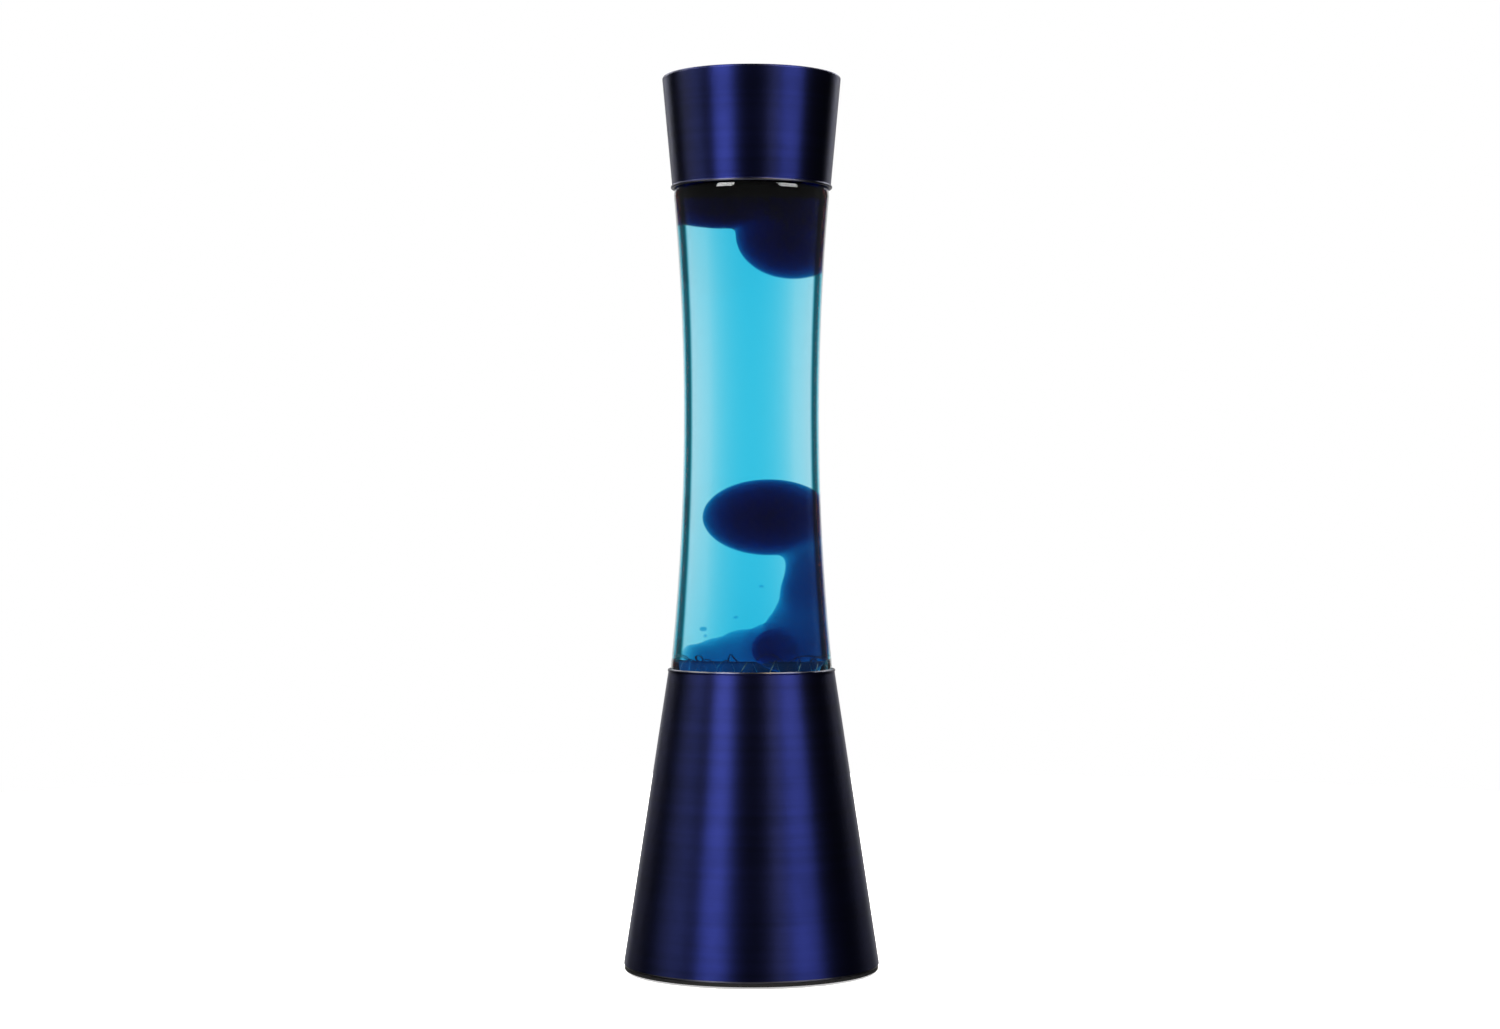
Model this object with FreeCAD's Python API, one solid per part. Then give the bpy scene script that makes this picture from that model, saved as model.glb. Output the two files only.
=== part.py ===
"""A waisted liquid motion lamp: spun metal base and cap, glass globe with liquid and wax, reflector bulb.

Millimetres. +Z is up, the origin is the centre of the foot circle on the table, +Y is the cord side.
Every physical piece is its own solid, or group of equal solids, in parts/NODE.step.
"""

import FreeCAD, Part
import math
import os

# ---------------------------------------------------------------- driving dimensions
TOTAL_HEIGHT = 400.0
SHEET = 0.8  # spun aluminium of the base and the cap
GAP = 0.12  # free space between touching pieces that are not joined
MOVING_GAP = 0.3  # free space between curved faces that lift apart

BASE_TOP_Z = 135.0
BASE_TOP_R = 37.1
BASE_BOTTOM_Z = 2.4
BASE_BOTTOM_R = 57.3
BASE_FLANGE_R = 48.6  # inner edge of the turned-in bottom flange
BASE_EDGE_R = 1.0
BEAD_R = 0.7  # rolled edge of the base mouth and of the cap mouth

CAP_BOTTOM_Z = 350.3
CAP_BOTTOM_R = 35.5
CAP_TOP_R = 40.1
CAP_EDGE_R = 1.1

GLOBE_BOTTOM_Z = 128.0
GLOBE_WAIST_Z = 248.3
GLOBE_WAIST_R = 30.35
GLOBE_ARC_R = 1082.0
GLOBE_WALL = 2.4
SHOULDER_Z = 352.0
SHOULDER_SLOPE = 0.53  # rise of the shoulder per unit of radius
NECK_R = 12.4
NECK_RING_R = 13.3
NECK_TOP_Z = 386.0
HEEL_ROUND = 8.0
SHOULDER_ROUND = 9.0
NECK_ROUND = 5.0
PUNT_R = 21.0
PUNT_RISE = 1.8
INNER_FLOOR_Z = GLOBE_BOTTOM_Z + 3.2
CROWN_FLUTES = 21
COIL_RING_R = 24.6  # the wire coil lies in a ring of this radius
COIL_R = 4.0
COIL_Z = INNER_FLOOR_Z + COIL_R + 0.6

SOCKET_Z = 36.0  # underside of the lampholder, top of its bracket
HOLDER_FLOOR_Z = SOCKET_Z + 11
TERMINAL_X = 6.0
BRACKET_HALF_X = 20.0
BRACKET_FOOT_X = 26.6
BRACKET_STRIP = 1.2
BRACKET_HALF_Y = 8.0
NIPPLE_R = 5.0
BULB_Z = 50.2  # tip of the bulb's contact
BULB_TOP_Z = 117.0
BULB_FLANK_R = 19.5
E14_PITCH = 2.822
E14_MAJOR_R = 6.92
E14_CORE_R = 6.2

COVER_Z = 1.0
COVER_R = 56.8
COVER_FLOOR_Z = 3.4
FOOT_CIRCLE_R = 39.5
SCREW_CIRCLE_R = 51.4
CORD_BORE_R = 3.1
CORD_Z = 8.6
CLAMP_Y = 33.0
CLAMP_SCREW_X = 8.0
BLOCK_Y = 20.0  # middle of the connector block
LEAD_R = 1.0
LEAD_X = 3.4
CORNER_ANGLES = (45, 135, 225, 315)
VENT_ANGLES = (34, 56, 124, 146, 210, 230, 250, 270, 290, 310, 330)

VERTICAL = FreeCAD.Vector(0, 0, 1)


# ---------------------------------------------------------------- drawing helpers
def at(x, y, z):
    return FreeCAD.Vector(x, y, z)


def turned(*outline):
    """The solid of revolution of a closed outline of (radius, height) points.

    A point of four numbers is reached by an arc: (mid radius, mid height, radius, height).
    """
    corners = [point[-2:] for point in outline]
    edges = []
    for previous, point in zip([corners[-1]] + corners[:-1], outline):
        start = at(previous[0], 0, previous[1])
        end = at(point[-2], 0, point[-1])
        if len(point) == 4:
            edges.append(Part.Arc(start, at(point[0], 0, point[1]), end).toShape())
        elif start.distanceToPoint(end) > 1e-6:
            edges.append(Part.LineSegment(start, end).toShape())
    face = Part.Face(Part.Wire(edges))
    return face.revolve(at(0, 0, 0), VERTICAL, 360)


def rounded(solid, radius, edge_r, edge_z):
    """The solid with its circular edge nearest to that radius and height rounded off."""

    def distance(edge):
        if edge.Degenerated or not isinstance(edge.Curve, Part.Circle):
            return 1e9
        return math.hypot(edge.Curve.Radius - edge_r, edge.Curve.Center.z - edge_z)

    return solid.makeFillet(radius, [min(solid.Edges, key=distance)])


def rounded_across(solid, radius, places):
    """The solid with its edges along Y at those (x, z) places, left and right, rounded off."""

    def wanted(edge):
        middle = edge.CenterOfMass
        return any(middle.distanceToPoint(at(s * x, 0, z)) < 0.01 for x, z in places for s in (-1, 1))

    return solid.makeFillet(radius, [e for e in solid.Edges if wanted(e)])


def rod(radius, low_z, high_z, x=0, y=0):
    return Part.makeCylinder(radius, high_z - low_z, at(x, y, low_z), VERTICAL)


def block(low, high):
    return Part.makeBox(high[0] - low[0], high[1] - low[1], high[2] - low[2], at(*low))


def tube(outer_r, inner_r, low_z, high_z):
    return rod(outer_r, low_z, high_z).cut(rod(inner_r, low_z - 1, high_z + 1))


def around(solid, angles):
    """Copies of a solid turned about Z by each angle, as one group."""
    copies = []
    for angle in angles:
        copy = solid.copy()
        copy.rotate(at(0, 0, 0), VERTICAL, angle)
        copies.append(copy)
    return copies


def mirrored_pair(solid):
    return [solid, solid.mirror(at(0, 0, 0), at(1, 0, 0))]


def oval(centre, radius, half_height, side_r):
    """Solid oval turned about Z: ball-shaped ends joined by a flank of radius side_r."""
    side = radius - side_r
    drop = (side ** 2 - (half_height - side_r) ** 2) / (2 * (half_height - side_r))
    end_r = half_height + drop
    share = end_r / (end_r - side_r)
    join_r, join_z = side * share, drop * share - drop
    half_angle = math.atan2(join_r, join_z + drop) / 2
    mid_r, mid_z = end_r * math.sin(half_angle), end_r * math.cos(half_angle) - drop
    body = turned(
        (0, -half_height),
        (mid_r, -mid_z, join_r, -join_z),
        (radius, 0, join_r, join_z),
        (mid_r, mid_z, 0, half_height),
    )
    body.translate(at(*centre))
    return body


def wire_path(points):
    """Straight runs joined by tangent arcs, each arc as large as its two runs allow."""
    edges = []
    radii = []
    start = at(*points[0])
    for before, corner, after in zip(points, points[1:], points[2:]):
        before, corner, after = at(*before), at(*corner), at(*after)
        to_before = (before - corner).normalize()
        to_after = (after - corner).normalize()
        shorter = min(before.distanceToPoint(corner), after.distanceToPoint(corner))
        reach = 0.45 * shorter
        entry = corner + to_before * reach
        leave = corner + to_after * reach
        half = to_before.getAngle(to_after) / 2
        radius = reach * math.tan(half)
        radii.append(round(radius, 1))
        bisector = (to_before + to_after).normalize()
        middle = corner + bisector * (reach / math.cos(half) - radius)
        edges.append(Part.LineSegment(start, entry).toShape())
        edges.append(Part.Arc(entry, middle, leave).toShape())
        start = leave
    edges.append(Part.LineSegment(start, at(*points[-1])).toShape())
    print("bend radii", radii)
    return Part.Wire(edges)


def wire(radius, points):
    path = wire_path(points)
    direction = at(*points[1]) - at(*points[0])
    section = Part.Wire(Part.makeCircle(radius, at(*points[0]), direction))
    solid = path.makePipeShell([section], True, False)
    print("wire", round(path.Length, 1), "mm, volume ratio",
          round(solid.Volume / (math.pi * radius**2 * path.Length), 4))
    return solid


# ---------------------------------------------------------------- base
def base_r(z):
    """Outer radius of the base cone at a height."""
    share = (z - BASE_BOTTOM_Z) / (BASE_TOP_Z - BASE_BOTTOM_Z)
    return BASE_BOTTOM_R + share * (BASE_TOP_R - BASE_BOTTOM_R)


def base_cone():
    """Spun cone with a rolled bead at its mouth, a turned-in flange below and a cord notch behind."""
    bead_z = BASE_TOP_Z - BEAD_R
    flange_top = BASE_BOTTOM_Z + SHEET
    shell = turned(
        (base_r(bead_z), bead_z),
        (base_r(bead_z) - SHEET, bead_z),
        (base_r(flange_top) - SHEET, flange_top),
        (BASE_FLANGE_R, flange_top),
        (BASE_FLANGE_R, BASE_BOTTOM_Z),
        (BASE_BOTTOM_R, BASE_BOTTOM_Z),
    )
    shell = rounded(shell, BASE_EDGE_R, BASE_BOTTOM_R, BASE_BOTTOM_Z)
    shell = rounded(shell, BASE_EDGE_R - SHEET, base_r(flange_top) - SHEET, flange_top)
    bead = Part.makeTorus(base_r(bead_z) - BEAD_R / 2, BEAD_R, at(0, 0, bead_z))
    notch_half = CORD_BORE_R + 2.0
    notch = block((-notch_half, 40, 0), (notch_half, 70, CORD_Z))
    notch = notch.fuse(Part.makeCylinder(notch_half, 30, at(0, 40, CORD_Z), at(0, 1, 0)))
    screw_holes = around(rod(1.55, 0, 5, SCREW_CIRCLE_R), CORNER_ANGLES)
    return shell.fuse(bead).cut([notch] + screw_holes)


def globe_seat():
    """Steel ring with a conical skirt, crimped inside the cone, that carries the globe."""
    top = GLOBE_BOTTOM_Z - 1.8
    plate = 1.2
    skirt_z = top - 10
    fit = SHEET + GAP
    return turned(
        (25.0, top),
        (25.0, top - plate),
        (base_r(top - plate) - fit - plate, top - plate),
        (base_r(skirt_z) - fit - plate, skirt_z),
        (base_r(skirt_z) - fit, skirt_z),
        (base_r(top) - fit, top),
    )


def seat_gasket():
    """Silicone ring between the seat and the glass."""
    low = GLOBE_BOTTOM_Z - 1.8
    high = GLOBE_BOTTOM_Z - 0.1
    return rounded(tube(28.2, 25.4, low, high), 0.6, 28.2, high)


def bottom_cover():
    """Moulded plastic floor with a spigot, vents, foot pockets, screw holes and cord posts."""
    spigot_r = BASE_FLANGE_R - 0.3
    cover = turned(
        (0, COVER_Z),
        (COVER_R, COVER_Z),
        (COVER_R, BASE_BOTTOM_Z),
        (spigot_r, BASE_BOTTOM_Z),
        (spigot_r, 7.0),
        (spigot_r - 1.8, 7.0),
        (spigot_r - 1.8, COVER_FLOOR_Z),
        (0, COVER_FLOOR_Z),
    )
    vent_low, vent_high = 16, 30
    vent = block((vent_low, -1.6, 0), (vent_high, 1.6, 5))
    vent = vent.fuse([rod(1.6, 0, 5, vent_low), rod(1.6, 0, 5, vent_high)])
    cuts = around(vent, VENT_ANGLES)
    cuts += around(rod(6.1, 0, COVER_Z + 0.9, FOOT_CIRCLE_R), CORNER_ANGLES)
    screw_hole = rod(1.65, 0, 5, SCREW_CIRCLE_R)
    sink = Part.makeCone(2.95, 1.65, 1.3, at(SCREW_CIRCLE_R, 0, COVER_Z - 0.05), VERTICAL)
    cuts += around(screw_hole.fuse(sink), CORNER_ANGLES)
    bracket_hole = rod(1.65, 0, 5, BRACKET_FOOT_X).fuse(rod(3.1, 0, COVER_FLOOR_Z - 0.9, BRACKET_FOOT_X))
    cuts += mirrored_pair(bracket_hole)
    cuts += mirrored_pair(rod(1.3, 0, 5, CLAMP_SCREW_X, CLAMP_Y))
    cord_half = CORD_BORE_R + 1.9
    cuts.append(block((-cord_half, 44, BASE_BOTTOM_Z), (cord_half, 56, 12)))
    return cover.cut(cuts)


def rubber_feet():
    foot = rod(6.0, 0, COVER_Z + 0.9, FOOT_CIRCLE_R)
    foot = foot.makeFillet(0.5, [e for e in foot.Edges if e.BoundBox.ZMax < 0.01])
    return around(foot, CORNER_ANGLES)


def cover_screws():
    """Countersunk screws that hold the cover to the base flange, with a slot in each head."""
    head = Part.makeCone(2.8, 1.5, 1.3, at(SCREW_CIRCLE_R, 0, COVER_Z), VERTICAL)
    shank = rod(1.5, COVER_Z + 1.3, 7.5, SCREW_CIRCLE_R)
    slot = block((SCREW_CIRCLE_R - 3, -0.35, 0), (SCREW_CIRCLE_R + 3, 0.35, COVER_Z + 0.6))
    return around(head.fuse(shank).cut(slot), CORNER_ANGLES)


# ---------------------------------------------------------------- lampholder on its bracket
def lamp_bracket():
    """Steel strip bent to a hat: two feet, two legs and a top plate."""
    half = BRACKET_HALF_X
    strip = BRACKET_STRIP
    floor_z = COVER_FLOOR_Z
    right = [
        (half, floor_z),
        (BRACKET_FOOT_X + 6, floor_z),
        (BRACKET_FOOT_X + 6, floor_z + strip),
        (half + strip, floor_z + strip),
        (half + strip, SOCKET_Z),
    ]
    inside = [(half, SOCKET_Z - strip)]
    left = [(-x, z) for x, z in reversed(right)]
    outline = inside + right[:5] + left + [(-half, SOCKET_Z - strip)]
    points = [at(x, -BRACKET_HALF_Y, z) for x, z in outline]
    face = Part.Face(Part.makePolygon(points + points[:1]))
    hat = face.extrude(at(0, 2 * BRACKET_HALF_Y, 0))

    bends_out = [(half + strip, SOCKET_Z), (half, floor_z)]
    bends_in = [(half, SOCKET_Z - strip), (half + strip, floor_z + strip)]
    hat = rounded_across(hat, 2.4, bends_out)
    hat = rounded_across(hat, 1.2, bends_in)
    cuts = mirrored_pair(rod(1.65, 0, 10, BRACKET_FOOT_X))
    cuts.append(rod(NIPPLE_R + 0.1, 30, 40))
    return hat.cut(cuts)


def bracket_screws():
    """Pan-head screws up through the cover and the bracket's feet."""
    under = COVER_FLOOR_Z - 0.9
    head = rod(2.9, COVER_Z + 0.2, under, BRACKET_FOOT_X)
    slot = block((BRACKET_FOOT_X - 3, -0.35, 0), (BRACKET_FOOT_X + 3, 0.35, COVER_Z + 0.8))
    shank = rod(1.5, under, 9.5, BRACKET_FOOT_X)
    return mirrored_pair(head.fuse(shank).cut(slot))


def hexagon_nut(flats, bore_r, low_z, high_z, x=0):
    corner_r = flats / math.sqrt(3)
    corners = [
        at(x + corner_r * math.cos(math.radians(a)), corner_r * math.sin(math.radians(a)), low_z)
        for a in range(0, 361, 60)
    ]
    prism = Part.Face(Part.makePolygon(corners)).extrude(at(0, 0, high_z - low_z))
    rim = Part.makeCone(corner_r + 0.3, corner_r - 0.5, high_z - low_z, at(x, 0, low_z), VERTICAL)
    return prism.common(rim).cut(rod(bore_r, low_z - 1, high_z + 1, x))


def bracket_nuts():
    low = COVER_FLOOR_Z + BRACKET_STRIP
    return mirrored_pair(hexagon_nut(5.5, 1.55, low, low + 2.4, BRACKET_FOOT_X))


def nipple():
    return tube(NIPPLE_R, 3.5, SOCKET_Z - 6, SOCKET_Z + 3.9)


def nipple_nut():
    top = SOCKET_Z - BRACKET_STRIP
    return hexagon_nut(14, NIPPLE_R + 0.05, top - 3.2, top)


def lampholder_body():
    """Moulded holder: a lower wiring chamber, a floor and an upper cup round the screw shell."""
    top = SOCKET_Z + 34
    body = turned(
        (0, SOCKET_Z),
        (10.6, SOCKET_Z),
        (12.8, SOCKET_Z + 8),
        (12.8, top),
        (8.9, top),
        (8.9, HOLDER_FLOOR_Z),
        (0, HOLDER_FLOOR_Z),
    )
    body = rounded(body, 1.2, 12.8, top)
    chamber = rod(8.6, SOCKET_Z + 4, HOLDER_FLOOR_Z - 3)
    holes = mirrored_pair(rod(1.35, SOCKET_Z, HOLDER_FLOOR_Z + 1, TERMINAL_X))
    entry = rod(NIPPLE_R + 0.05, SOCKET_Z - 1, SOCKET_Z + 5)
    grooves = [tube(14, 12.2, SOCKET_Z + z, SOCKET_Z + z + 1.0) for z in (12, 15, 18)]
    return body.cut([chamber, entry] + holes + grooves)


def lampholder_shell():
    """Threadless stand-in bore for the bulb's screw, with a foot that rests on the holder's floor."""
    low = HOLDER_FLOOR_Z
    high = SOCKET_Z + 32
    return turned(
        (7.2, high),
        (7.2, low + 4.5),
        (7.75, low + 4.0),
        (7.75, low),
        (8.3, low),
        (8.3, low + 4.4),
        (7.7, low + 4.9),
        (7.7, high - 0.8),
        (8.5, high - 0.3),
        (8.5, high),
    )


def lampholder_contact():
    """Brass tongue that rises from the holder's floor to the bulb's tip."""
    low = HOLDER_FLOOR_Z
    high = BULB_Z - 0.1
    strip = 0.5
    profile = [
        (-7.0, low),
        (-2.6, low),
        (0.4, high - strip),
        (2.6, high - strip),
        (2.6, high),
        (0.2, high),
        (-2.8, low + strip),
        (-7.0, low + strip),
    ]
    points = [at(x, -2, z) for x, z in profile]
    return Part.Face(Part.makePolygon(points + points[:1])).extrude(at(0, 4, 0))


def lampholder_terminals():
    """Terminal screws under the holder's floor, heads down."""
    under = HOLDER_FLOOR_Z - 3
    head = rod(2.3, under - 1.5, under, TERMINAL_X)
    slot = block((TERMINAL_X - 3, -0.3, under - 2), (TERMINAL_X + 3, 0.3, under - 0.9))
    shank = rod(1.25, under, HOLDER_FLOOR_Z, TERMINAL_X)
    return mirrored_pair(head.fuse(shank).cut(slot))


# ---------------------------------------------------------------- cord entry and wiring
def cord_grommet():
    """Plastic bush in the cone's rear notch: a flange each side of the metal and a bore for the cord."""
    outside = BASE_BOTTOM_R - 0.27
    inside = base_r(CORD_Z) - 4.2
    along = at(0, 1, 0)
    body = Part.makeCylinder(CORD_BORE_R + 1.8, outside - inside, at(0, inside, CORD_Z), along)
    flange = Part.makeCylinder(CORD_BORE_R + 2.9, 1.2, at(0, inside, CORD_Z), along)
    lip = Part.makeCylinder(CORD_BORE_R + 2.6, 3, at(0, outside - 3, CORD_Z), along)
    lip = lip.cut(Part.makeCone(base_r(0) + 0.05, base_r(20) + 0.05, 20))
    bore = Part.makeCylinder(CORD_BORE_R, 30, at(0, 35, CORD_Z), along)
    return body.fuse([flange, lip]).removeSplitter().cut(bore)


def cord_clamp():
    """Saddle over the cord's place, screwed to the cover."""
    saddle_z = COVER_FLOOR_Z + 7.6
    half = CLAMP_SCREW_X + 3.2
    saddle = block((-half, CLAMP_Y - 3, COVER_FLOOR_Z), (half, CLAMP_Y + 3, COVER_FLOOR_Z + 2))
    arch = Part.makeCylinder(5.0, 6, at(0, CLAMP_Y - 3, COVER_FLOOR_Z + 2.8), at(0, 1, 0))
    arch = arch.common(block((-6, CLAMP_Y - 4, COVER_FLOOR_Z), (6, CLAMP_Y + 4, saddle_z + 4)))
    tunnel = Part.makeCylinder(3.2, 8, at(0, CLAMP_Y - 4, COVER_FLOOR_Z + 2.8), at(0, 1, 0))
    floor_cut = block((-3.2, CLAMP_Y - 4, COVER_FLOOR_Z - 1), (3.2, CLAMP_Y + 4, COVER_FLOOR_Z + 2.8))
    holes = mirrored_pair(rod(1.3, 0, 10, CLAMP_SCREW_X, CLAMP_Y))
    return saddle.fuse(arch).cut([tunnel, floor_cut] + holes)


def clamp_screws():
    head = rod(2.4, COVER_FLOOR_Z + 2, COVER_FLOOR_Z + 3.6, CLAMP_SCREW_X, CLAMP_Y)
    head = head.makeFillet(0.7, [e for e in head.Edges if e.BoundBox.ZMin > COVER_FLOOR_Z + 3.5])
    shank = rod(1.25, COVER_Z + 0.4, COVER_FLOOR_Z + 2, CLAMP_SCREW_X, CLAMP_Y)
    return mirrored_pair(head.fuse(shank))


def terminal_block():
    """Two-way connector block; the cord's cores enter from behind and the leads leave in front."""
    low = COVER_FLOOR_Z
    body = block((-7, BLOCK_Y - 5.5, low), (7, BLOCK_Y + 5.5, low + 7))
    towers = mirrored_pair(rod(2.9, low + 6, low + 10.5, LEAD_X, BLOCK_Y))
    body = body.fuse(towers)
    ways = mirrored_pair(
        Part.makeCylinder(1.35, 20, at(LEAD_X, BLOCK_Y - 10, low + 3.4), at(0, 1, 0))
    )
    wells = mirrored_pair(rod(1.7, low + 3.4, low + 12, LEAD_X, BLOCK_Y))
    return body.cut(ways + wells)


def terminal_screws():
    low = COVER_FLOOR_Z
    screw = rod(1.55, low + 5.0, low + 9.4, LEAD_X, BLOCK_Y)
    slot = block((LEAD_X - 2, BLOCK_Y - 0.3, low + 8.6), (LEAD_X + 2, BLOCK_Y + 0.3, low + 11))
    return mirrored_pair(screw.cut(slot))


def lead(side):
    """Insulated lead from the connector block, up through the nipple, to a holder terminal."""
    x = LEAD_X * side
    z = COVER_FLOOR_Z + 3.4
    route = [
        (x, BLOCK_Y - 2.5, z),
        (x, BLOCK_Y - 8.5, z),
        (x * 1.15, BLOCK_Y - 14.0, z + 3.0),
        (x * 0.8, 2.6, z + 10.0),
        (1.5 * side, 0.4, SOCKET_Z - 9),
        (1.5 * side, 0, SOCKET_Z - 1),
        (1.6 * side, 0, SOCKET_Z + 4.0),
        (3.2 * side, 0, SOCKET_Z + 5.3),
        (TERMINAL_X * side + 1.2 * side, 0, SOCKET_Z + 5.45),
    ]
    return wire(LEAD_R, route)


# ---------------------------------------------------------------- bulb
def bulb_form(inset):
    """The reflector bulb's envelope, solid, drawn in from its outside by an inset."""
    neck_r = 6.9 - inset
    flank_r = BULB_FLANK_R - inset
    top = BULB_TOP_Z - inset
    rim_z = 107.0 - inset / 2
    form = turned(
        (0, 71.2 + inset),
        (neck_r, 71.2 + inset),
        (neck_r, 76.5),
        (flank_r, 98.0),
        (flank_r, rim_z),
        (flank_r * 0.55, top - (top - rim_z) * 0.3, 0, top),
    )
    form = rounded(form, 7.0 + inset, neck_r, 76.5)
    form = rounded(form, 9.0 - inset, flank_r, 98.0)
    return rounded(form, 3.0 - inset, flank_r, rim_z)


def bulb_envelope():
    return bulb_form(0).cut(bulb_form(0.7))


def bulb_reflector():
    """Silver coating on the inside of the flank."""
    coat = bulb_form(0.7 + 0.02).cut(bulb_form(0.95))
    return coat.common(rod(30, 79.5, 101.5))


def bulb_cap():
    """E14 screw cap: a thin shell with one helical thread and a flange under the glass."""
    low = BULB_Z + 4.0
    thread_low = low + 2.2
    core = turned(
        (0, low),
        (5.3, low),
        (E14_CORE_R, low + 1.2),
        (E14_CORE_R, low + 15.0),
        (7.1, low + 16.0),
        (7.1, 71.1),
        (0, 71.1),
    )
    turns = 3.6
    helix = Part.makeHelix(E14_PITCH, turns * E14_PITCH, E14_CORE_R - 0.1)
    helix.translate(at(0, 0, thread_low))
    rise = E14_MAJOR_R - E14_CORE_R + 0.1
    start = at(E14_CORE_R - 0.1, 0, thread_low)
    crest = Part.Arc(
        start + at(0, 0, 1.05), start + at(rise, 0, 0), start - at(0, 0, 1.05)
    ).toShape()
    chord = Part.LineSegment(start - at(0, 0, 1.05), start + at(0, 0, 1.05)).toShape()
    thread = Part.Wire(helix).makePipeShell([Part.Wire([crest, chord])], True, True)
    cap = core.fuse(thread)
    return cap.cut(rod(5.2, low - 1, 80))


def bulb_stem():
    """Glass stem in the bulb's neck."""
    return turned(
        (0, 71.95),
        (4.2, 71.95),
        (2.0, 78.0),
        (1.7, 87.0),
        (2.4, 88.8),
        (0, 88.8),
    )


def filament_supports():
    support = wire(0.3, [(1.0, 0, 89.1), (1.4, 0, 91.5), (5.2, 0, 95.0), (5.6, 0, 97.4)])
    return mirrored_pair(support)


def bulb_filament():
    """Outer shape of the coiled filament, hung between its two supports."""
    return Part.makeCylinder(0.45, 10.4, at(-5.2, 0, 97.9), at(1, 0, 0))


def bulb_insulator():
    """Black glass cone between the cap and the contact."""
    low = BULB_Z + 1.2
    return turned((0, low), (2.9, low), (5.0, BULB_Z + 3.9), (0, BULB_Z + 3.9))


def bulb_contact():
    low = BULB_Z
    return turned((0, low + 1.2), (0, low), (1.5, low), (2.7, low + 0.7), (2.7, low + 1.2))


# ---------------------------------------------------------------- globe
def globe_r(z, inset=0.0):
    """Radius of the globe's waisted wall at a height, drawn in from its outside by an inset."""
    arc = GLOBE_ARC_R + inset
    return GLOBE_WAIST_R - inset + arc - math.sqrt(arc**2 - (z - GLOBE_WAIST_Z) ** 2)


def globe_form(inset, floor_z, top_z):
    """The bottle's form, solid, drawn in by an inset, from its floor up to a flat top in the neck."""
    shoulder_z = SHOULDER_Z - inset * (math.hypot(1, SHOULDER_SLOPE) - SHOULDER_SLOPE)
    shoulder_r = globe_r(shoulder_z, inset)
    neck_r = NECK_R - inset
    neck_z = shoulder_z + (shoulder_r - neck_r) * SHOULDER_SLOPE
    floor_r = globe_r(floor_z, inset)
    form = turned(
        (0, floor_z),
        (floor_r, floor_z),
        (GLOBE_WAIST_R - inset, GLOBE_WAIST_Z, shoulder_r, shoulder_z),
        (neck_r, neck_z),
        (neck_r, top_z),
        (0, top_z),
    )
    form = rounded(form, HEEL_ROUND - inset, floor_r, floor_z)
    form = rounded(form, SHOULDER_ROUND - inset, shoulder_r, shoulder_z)
    return rounded(form, NECK_ROUND + inset, neck_r, neck_z)


def punt(floor_z, rise, radius):
    """Shallow dome that stands up from a floor."""
    ball_r = (radius**2 + rise**2) / (2 * rise)
    ball = Part.makeSphere(ball_r, at(0, 0, floor_z + rise - ball_r))
    return ball.common(rod(radius + 1, floor_z, floor_z + rise + 1))


def cavity(gap, top_z):
    """The space inside the glass, less a gap."""
    floor_z = INNER_FLOOR_Z + gap
    form = globe_form(GLOBE_WALL + gap, floor_z, top_z)
    return form.cut(punt(floor_z, PUNT_RISE, PUNT_R))


def globe_glass():
    outside = globe_form(0, GLOBE_BOTTOM_Z, NECK_TOP_Z)
    outside = outside.cut(punt(GLOBE_BOTTOM_Z, PUNT_RISE, PUNT_R))
    ring = rod(NECK_RING_R, NECK_TOP_Z - 8, NECK_TOP_Z)
    ring = rounded(ring, 0.8, NECK_RING_R, NECK_TOP_Z)
    bottle = outside.fuse(ring).removeSplitter()
    return bottle.cut(cavity(0, NECK_TOP_Z + 1))


def crown_form(inner):
    """Solid form of the crown cap: a round top that flares to a fluted skirt."""
    sheet = 0.35 if inner else 0.0
    top_z = NECK_TOP_Z + 1.4 - sheet
    skirt_z = NECK_TOP_Z - 4.6 - (1.0 if inner else 0.0)

    def ring(z, radius, wave):
        points = []
        for i in range(2 * CROWN_FLUTES):
            angle = math.pi * i / CROWN_FLUTES
            r = radius - sheet + (wave if i % 2 == 0 else -wave)
            points.append(at(r * math.cos(angle), r * math.sin(angle), z))
        curve = Part.BSplineCurve()
        curve.interpolate(points, PeriodicFlag=True)
        return Part.Wire(curve.toShape())

    rings = [ring(skirt_z, 15.0, 0.75), ring(NECK_TOP_Z - 2.2, 14.3, 0.35), ring(top_z, 13.9, 0.02)]
    return Part.makeLoft(rings, True, False)


def crown_cap():
    return crown_form(False).cut(crown_form(True))


def crown_liner():
    return rod(13.0, NECK_TOP_Z + 0.03, NECK_TOP_Z + 1.0)


def grown_ball(centre, radius, grow):
    return Part.makeSphere(radius + grow, at(*centre))


def wax_upper(grow=0.0):
    """Wax pooled under the shoulder, with a broad bulge and a lobe that hangs down the right side."""
    inside = cavity(2 * GAP - grow, NECK_TOP_Z - 10)
    pool = rod(40, 339.0 - grow, NECK_TOP_Z)
    bulge = Part.makeCylinder(30 + grow, 90, at(-9, -45, 362.3), at(0, 1, 0))
    lobe = oval((13.5, 0, 329.5), 18 + grow, 20 + grow, 24 + grow)
    return inside.common(pool.fuse([bulge, lobe]))


def wax_lower(grow=0.0):
    """Wax on the globe's floor, with a column up the right side that ends in a broad drop."""
    inside = cavity(2 * GAP - grow, 330)
    pool = rod(40, 120, 145.5 + grow)
    slope = oval((13, -3, 142), 20 + grow, 15 + grow, 11 + grow)
    column = rod(9.0 + grow, 140, 195, 17.5)
    drop = oval((5.9, 0, 202.4), 22.2 + grow, 17 + grow, 12 + grow)
    half = COIL_R + GAP - grow
    channel = tube(COIL_RING_R + half, COIL_RING_R - half, 120, COIL_Z + half)
    return inside.common(pool.fuse([slope, column, drop])).cut(channel)


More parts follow.
